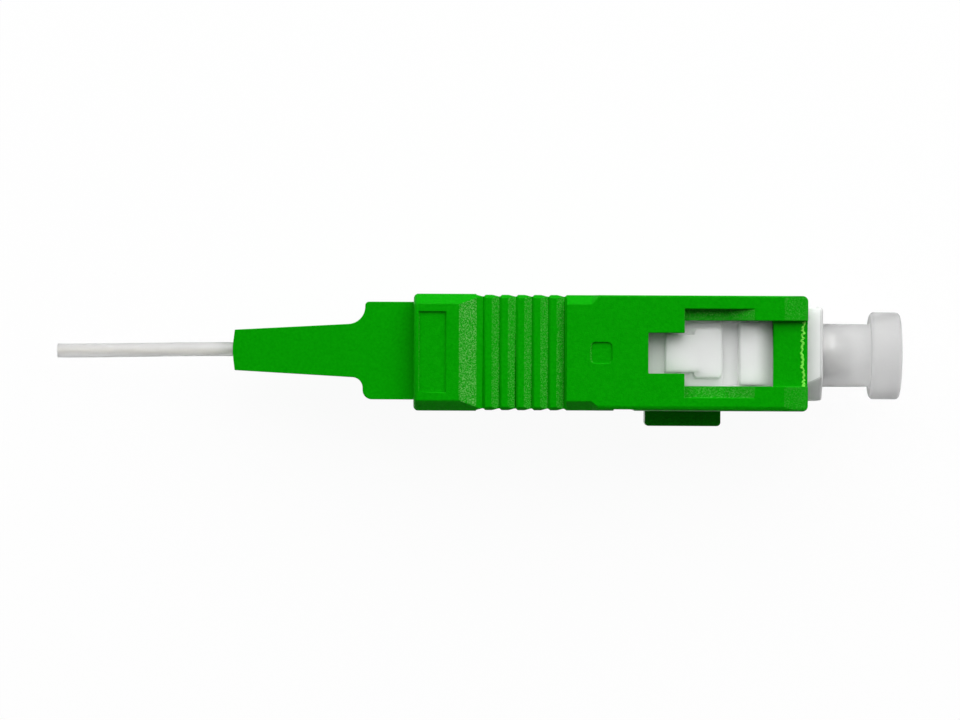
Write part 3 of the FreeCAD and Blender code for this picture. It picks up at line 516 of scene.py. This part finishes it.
def dust_cap():
    """Soft translucent cap: drafted stem, rounded head with a slightly crowned end, blind bore."""
    low, high = box_of("dust_cap")
    head_radius = high.y
    head_rear = high.x - CAP_HEAD_LENGTH
    head_face = high.x - CAP_CROWN
    bore_end = low.x + CAP_BORE_DEPTH
    mesh_data = lathe(rounded([
        (bore_end, 0.0, 0.0),
        (bore_end, CAP_BORE_RADIUS, CAP_BORE_ROUND),
        (low.x, CAP_BORE_RADIUS, CAP_BORE_ROUND),
        (low.x, CAP_STEM_RADIUS, CAP_STEM_ROUND),
        (head_rear, CAP_STEM_RADIUS - CAP_STEM_DRAFT, CAP_HEAD_FILLET),
        (head_rear, head_radius, CAP_HEAD_ROUND),
        (head_face, head_radius, CAP_HEAD_ROUND),
        (head_face + CAP_CROWN * 0.75, head_radius * 0.5, CAP_CROWN_ROUND),
        (high.x, 0.0, 0.0),
    ], step_degrees=9.0))
    bmesh.ops.rotate(mesh_data, verts=mesh_data.verts, cent=(0, 0, 0),
                     matrix=Matrix.Rotation(math.radians(CAP_TILT), 3, "Z"))
    bmesh.ops.translate(mesh_data, verts=mesh_data.verts, vec=(CAP_SHIFT[0] * MM, CAP_SHIFT[1] * MM, 0))
    piece = new_piece("dust_cap_soft", mesh_data, "dust_cap")
    smooth(piece, angle=50)
    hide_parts("dust_cap")


FIBRE_RADIUS = 0.45
FIBRE_BORE = 0.135
FIBRE_LEAN = 0.14
FIBRE_STRAIGHT = 0.3
FIBRE_STEPS = 24
FIBRE_SEGMENTS = 48


def fibre_jacket():
    """Buffer of the fibre: a tube that shows the coated fibre at its cut end and bends a little at the boot.

    It is straight at its far end and, FIBRE_STRAIGHT of the way in, inside the boot.
    """
    low, high = box_of("fibre_buffer")
    tail = box_of("boot")[0].x
    inside = (high.x - tail) * FIBRE_STRAIGHT
    profile = [Vector((high.x, FIBRE_BORE)), Vector((high.x, FIBRE_RADIUS))]
    for place in range(FIBRE_STEPS + 1):
        share = place / FIBRE_STEPS
        profile.append(Vector((tail + inside * (1 - share) ** 2 + (low.x - tail) * share, FIBRE_RADIUS)))
    profile += [Vector((low.x, FIBRE_BORE)), Vector((high.x, FIBRE_BORE))]
    mesh_data = lathe(profile, FIBRE_SEGMENTS)
    bmesh.ops.remove_doubles(mesh_data, verts=mesh_data.verts, dist=LATHE_WELD * MM)
    for vertex in mesh_data.verts:
        along = vertex.co.x / MM
        if along < tail:
            share = (along - low.x) / (tail - low.x)
        else:
            share = max(0.0, 1 - (along - tail) / inside)
        vertex.co.y += FIBRE_LEAN * MM * share * share * (3 - 2 * share)
    piece = new_piece("fibre_jacket", mesh_data, "fibre_buffer")
    smooth(piece, angle=35)
    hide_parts("fibre_buffer")


FERRULE_HOLE = 0.073
FERRULE_RADIUS = 1.25
FERRULE_REAR_ROUND = 0.03
FERRULE_TIP_LENGTH = 0.7
FERRULE_TIP_RADIUS = 0.85
FERRULE_TIP_ROUND = 0.12
FERRULE_POLISH = math.tan(math.radians(8.0))
FACE_MARGIN = 1e-3


def ferrule():
    """Ceramic ferrule: ground rod with a conical tip, its end polished at an angle."""
    low, high = box_of("ferrule")
    mesh_data = lathe(rounded([
        (low.x, FERRULE_HOLE, 0.0),
        (low.x, FERRULE_RADIUS, FERRULE_REAR_ROUND),
        (high.x - FERRULE_TIP_LENGTH, FERRULE_RADIUS, FERRULE_TIP_ROUND),
        (high.x, FERRULE_TIP_RADIUS, 0.0),
        (high.x, FERRULE_HOLE, 0.0),
        (low.x, FERRULE_HOLE, 0.0),
    ], step_degrees=6.0))
    bmesh.ops.remove_doubles(mesh_data, verts=mesh_data.verts, dist=LATHE_WELD * MM)
    for vertex in mesh_data.verts:
        if vertex.co.x > (high.x - FACE_MARGIN) * MM:
            vertex.co.x -= (vertex.co.y + FERRULE_TIP_RADIUS * MM) * FERRULE_POLISH
    piece = new_piece("ferrule_rod", mesh_data, "ferrule")
    smooth(piece, angle=20)
    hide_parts("ferrule")


def spring_coil():
    """Spring behind the flange: the CAD node's coil, welded and shaded smooth."""
    mesh_data = bmesh.new()
    mesh_data.from_mesh(frame["nodes"]["spring"].data)
    bmesh.ops.remove_doubles(mesh_data, verts=mesh_data.verts, dist=WELD * MM)
    piece = new_piece("spring_coil", mesh_data, "spring")
    smooth(piece, angle=65)
    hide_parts("spring")
    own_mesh(piece)


def mark_painted_light(piece, wanted):
    """Give a piece's attribute for painted light to the faces whose centre, in millimetres, the test
    accepts: they take a painted lighter colour in place of the plastic's own.
    """
    painted_light = piece.data.attributes.new("painted_light", "FLOAT", "FACE")
    for face in piece.data.polygons:
        painted_light.data[face.index].value = float(wanted(face.center / MM))


# Faces are picked by how their normal leans, forwards towards the lamp on the right, and by where their
# centre is. The share sets the grain's bump and the painted glints, lighter specks that stand in for the
# lamps' glints. The slope has them in full, the flank right in front of it has none, and the others have
# their shares.
GRAIN_GLINT_LEAN = 0.1
GRAIN_GLINT_FRONT = 0.98
GRAIN_GLINT_SIDE = 0.3
GRAIN_AND_GLINT_SHARE = 0.4
SLOPE_REAR = -23.4
SLOPE_FRONT = -22.3
SLOPE_GAP = 0.6
LEDGE_LOW = 3.4
LEDGE_HIGH = 4.3
LEDGE_REAR = -9.0
LEDGE_SIDE = 2.1
LEDGE_LEVEL = 0.5
LEAD_IN_LENGTH = 1.55
LEAD_IN_SHARE = 0.22


def mark_grain_and_glints(piece):
    """Faces of the housing that get the grain and the painted glints: what leans forwards, the cam ledges
    and the lead-in.
    """
    front = box_of("outer_housing")[1].x
    texture = piece.data.attributes.new("texture", "FLOAT", "FACE")
    for face in piece.data.polygons:
        place = face.center / MM
        ledge = (LEDGE_LOW < abs(place.z) < LEDGE_HIGH and place.x > LEDGE_REAR
                 and abs(place.y) > LEDGE_SIDE and abs(face.normal.z) > LEDGE_LEVEL)
        leaning = GRAIN_GLINT_LEAN < face.normal.x < GRAIN_GLINT_FRONT and abs(face.normal.y) < GRAIN_GLINT_SIDE
        if leaning and SLOPE_REAR < place.x < SLOPE_FRONT:
            share = 1.0
        elif SLOPE_FRONT <= place.x < SLOPE_FRONT + SLOPE_GAP:
            share = 0.0
        elif place.x > front - LEAD_IN_LENGTH and abs(place.z) > LEDGE_HIGH:
            share = LEAD_IN_SHARE
        else:
            share = GRAIN_AND_GLINT_SHARE * float(ledge or leaning)
        texture.data[face.index].value = share


FLASH_DEPTH = 0.5
FLASH_HALF_WIDTH = 2.28
FLASH_STEP = 0.035
FLASH_SIDES = 6
FLASH_SETBACK = 0.17
FLASH_BOW = 0.2
FLASH_WANDER = 0.13
FLASH_WANDERS = 6.0
FLASH_THICK = 0.082
FLASH_SWELL = 0.05
FLASH_SWELLS = 7.0
FLASH_ROUGH = 0.03
FLASH_RAGGED = 0.01
FLASH_FLAT = 0.8


def mould_flash():
    """Ragged thread of mould flash along the front edge of each bridge floor."""
    high = box_of("outer_housing")[1]
    random.seed(7)
    mesh_data = bmesh.new()
    for side in (1, -1):
        level = high.z * side - FLASH_DEPTH * side
        shift = random.uniform(0, 100)
        count = int(2 * FLASH_HALF_WIDTH / FLASH_STEP)
        previous = None
        for place in range(count + 1):
            across = -FLASH_HALF_WIDTH + 2 * FLASH_HALF_WIDTH * place / count
            wander = noise.noise((across * FLASH_WANDERS, shift, 3)) * FLASH_WANDER
            bow = FLASH_BOW * (1 - (across / FLASH_HALF_WIDTH) ** 2)
            centre = Vector((high.x - FLASH_SETBACK - bow + wander, across, level))
            swell = FLASH_SWELL * noise.noise((across * FLASH_SWELLS, shift, 9))
            thick = FLASH_THICK + swell + random.uniform(-FLASH_ROUGH, FLASH_ROUGH)
            ring = []
            for corner in range(FLASH_SIDES):
                angle = 2 * math.pi * corner / FLASH_SIDES
                out = Vector((math.cos(angle) * thick, random.uniform(-FLASH_RAGGED, FLASH_RAGGED),
                              math.sin(angle) * thick * FLASH_FLAT))
                ring.append(mesh_data.verts.new((centre + out) * MM))
            if previous:
                for corner in range(FLASH_SIDES):
                    after = (corner + 1) % FLASH_SIDES
                    mesh_data.faces.new((previous[corner], previous[after], ring[after], ring[corner]))
            else:
                mesh_data.faces.new(ring)
            previous = ring
        mesh_data.faces.new(previous)
    bmesh.ops.recalc_face_normals(mesh_data, faces=mesh_data.faces)
    piece = new_piece("mould_flash", mesh_data, "outer_housing")
    # The whole flash takes the painted highlight colour.
    mark_painted_light(piece, lambda place: True)


SWEEP_LEAN = 0.97
SWEEP_SIDE = 0.01
SWEEP_AREA = 0.5


def even_sweep(piece):
    """Shade the faces that only rise and fall along the plug as one smooth sweep, not facet by facet."""
    mesh = piece.data
    normals = [corner.vector.copy() for corner in mesh.corner_normals]
    for side in (1, -1):
        faces = [face for face in mesh.polygons
                 if side * face.normal.z > SWEEP_LEAN and abs(face.normal.y) < SWEEP_SIDE
                 and face.area > SWEEP_AREA * MM * MM]
        turns = sorted((face.center.x, math.atan2(face.normal.x, side * face.normal.z)) for face in faces)
        for face in faces:
            for corner in face.loop_indices:
                place = mesh.vertices[mesh.loops[corner].vertex_index].co.x
                after = next((index for index, turn in enumerate(turns) if turn[0] > place), len(turns) - 1)
                low, high = turns[max(after - 1, 0)], turns[after]
                share = (place - low[0]) / (high[0] - low[0]) if high[0] > low[0] else 0.0
                angle = low[1] + (high[1] - low[1]) * min(max(share, 0.0), 1.0)
                normals[corner] = Vector((math.sin(angle), 0.0, side * math.cos(angle)))
    mesh.normals_split_custom_set(normals)


HOUSING_EDGE = 0.05
PLUG_BODY_EDGE = 0.1
BOOT_EDGE = 0.04
BOOT_LEAN = 0.09
NOSE_REAR = -2.6


def soft_boot():
    """Boot with softened edges, a little off the axis."""
    piece = soft_edged("boot", "boot_soft", BOOT_EDGE)
    even_sweep(piece)
    for vertex in piece.data.vertices:
        vertex.co.y += BOOT_LEAN * MM


mark_grain_and_glints(soft_edged("outer_housing", "housing_shell", HOUSING_EDGE, SLOPE_FRONT))
# The plug body's faces behind the nose, seen through the housing's windows, take the painted lighter white
# against the shade there.
mark_painted_light(soft_edged("inner_housing", "plug_body_shell", PLUG_BODY_EDGE), lambda place: place.x < NOSE_REAR)
soft_boot()
dust_cap()
fibre_jacket()
ferrule()
spring_coil()
mould_flash()


# ---------------------------------------------------------------- floor, light and camera

# DISTANCE and the soft boxes' sizes and distances are in metres, and their power is in watts.
CENTRE = Vector((-22.05, -0.49, 0.0)) * MM
DISTANCE = 0.293
VIEW_WIDTH = 62.338
SENSOR = 36.0
CAMERA_ROLL = 0.27
FLOOR_GAP = 0.01
FLOOR_WHITE = 0.95
WORLD_LIGHT = 0.07


def background_rays(tree):
    """1 for the rays that show the background: the camera's, reflections and what passes through."""
    rays = tree.nodes.new("ShaderNodeLightPath")
    previous = (rays, "Is Camera Ray")
    for kind in ("Is Glossy Ray", "Is Transmission Ray"):
        previous = (combine(tree, "MAXIMUM", previous, (rays, kind)), "Value")
    return previous


def floor():
    """Plain whitish floor: white to the rays that show the background, but for a share that takes shadow."""
    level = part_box("outer_housing")[0].z - FLOOR_GAP * MM
    bpy.ops.mesh.primitive_plane_add(size=2.0, location=(CENTRE.x, 0, level))
    ground = bpy.context.object
    ground.name = "floor"
    material, tree, shader = new_material("floor_white")
    shader.inputs["Base Color"].default_value = (*grey(0.86), 1.0)
    shader.inputs["Roughness"].default_value = 0.9
    shader.inputs["Specular IOR Level"].default_value = 0.1
    glow = tree.nodes.new("ShaderNodeEmission")
    glow.inputs["Color"].default_value = (*grey(1.0), 1.0)
    glow.inputs["Strength"].default_value = 1.0
    share = tree.nodes.new("ShaderNodeMath")
    share.operation = "MULTIPLY"
    share.inputs[1].default_value = FLOOR_WHITE
    link(tree, *background_rays(tree), share, 0)
    link(tree, share, "Value", show_mix(tree, shader, glow), 0)
    ground.data.materials.append(material)


def soft_box(name, azimuth, elevation, distance, width, height, power):
    """Rectangular soft box that faces the part. Azimuth is measured from +Y towards +X."""
    turn = math.radians(azimuth)
    rise = math.radians(elevation)
    towards = Vector((math.sin(turn) * math.cos(rise), math.cos(turn) * math.cos(rise), math.sin(rise)))
    lamp = bpy.data.lights.new(name, "AREA")
    lamp.shape = "RECTANGLE"
    lamp.size = width
    lamp.size_y = height
    lamp.energy = power
    holder = bpy.data.objects.new(name, lamp)
    holder.location = CENTRE + towards * distance
    holder.rotation_euler = (-towards).to_track_quat("-Z", "Y").to_euler()
    holder.visible_camera = False
    bpy.context.scene.collection.objects.link(holder)


def world():
    """White where the background shows, and dim as a light."""
    studio = bpy.data.worlds.new("studio")
    studio.use_nodes = True
    tree = studio.node_tree
    backdrop = blend_colours(tree, *background_rays(tree), grey(WORLD_LIGHT), grey(1.0))
    link(tree, backdrop, "Result", tree.nodes["Background"], "Color")
    bpy.context.scene.world = studio


def camera():
    """Camera straight above the plug, VIEW_WIDTH wide at the height of its axis."""
    lens = bpy.data.cameras.new("camera")
    lens.sensor_width = SENSOR
    lens.lens = SENSOR * DISTANCE / (VIEW_WIDTH * MM)
    lens.clip_start = 0.01
    lens.clip_end = 10.0
    holder = bpy.data.objects.new("camera", lens)
    holder.location = CENTRE + Vector((0, 0, DISTANCE))
    holder.rotation_euler = (0, 0, math.radians(CAMERA_ROLL))
    bpy.context.scene.collection.objects.link(holder)
    bpy.context.scene.camera = holder


floor()
world()
soft_box("key", azimuth=8.0, elevation=42.0, distance=0.37, width=0.95, height=0.46, power=4.1)
soft_box("right", azimuth=88.0, elevation=49.0, distance=0.37, width=0.14, height=0.14, power=0.04)
camera()
bpy.context.scene.view_settings.view_transform = "Standard"
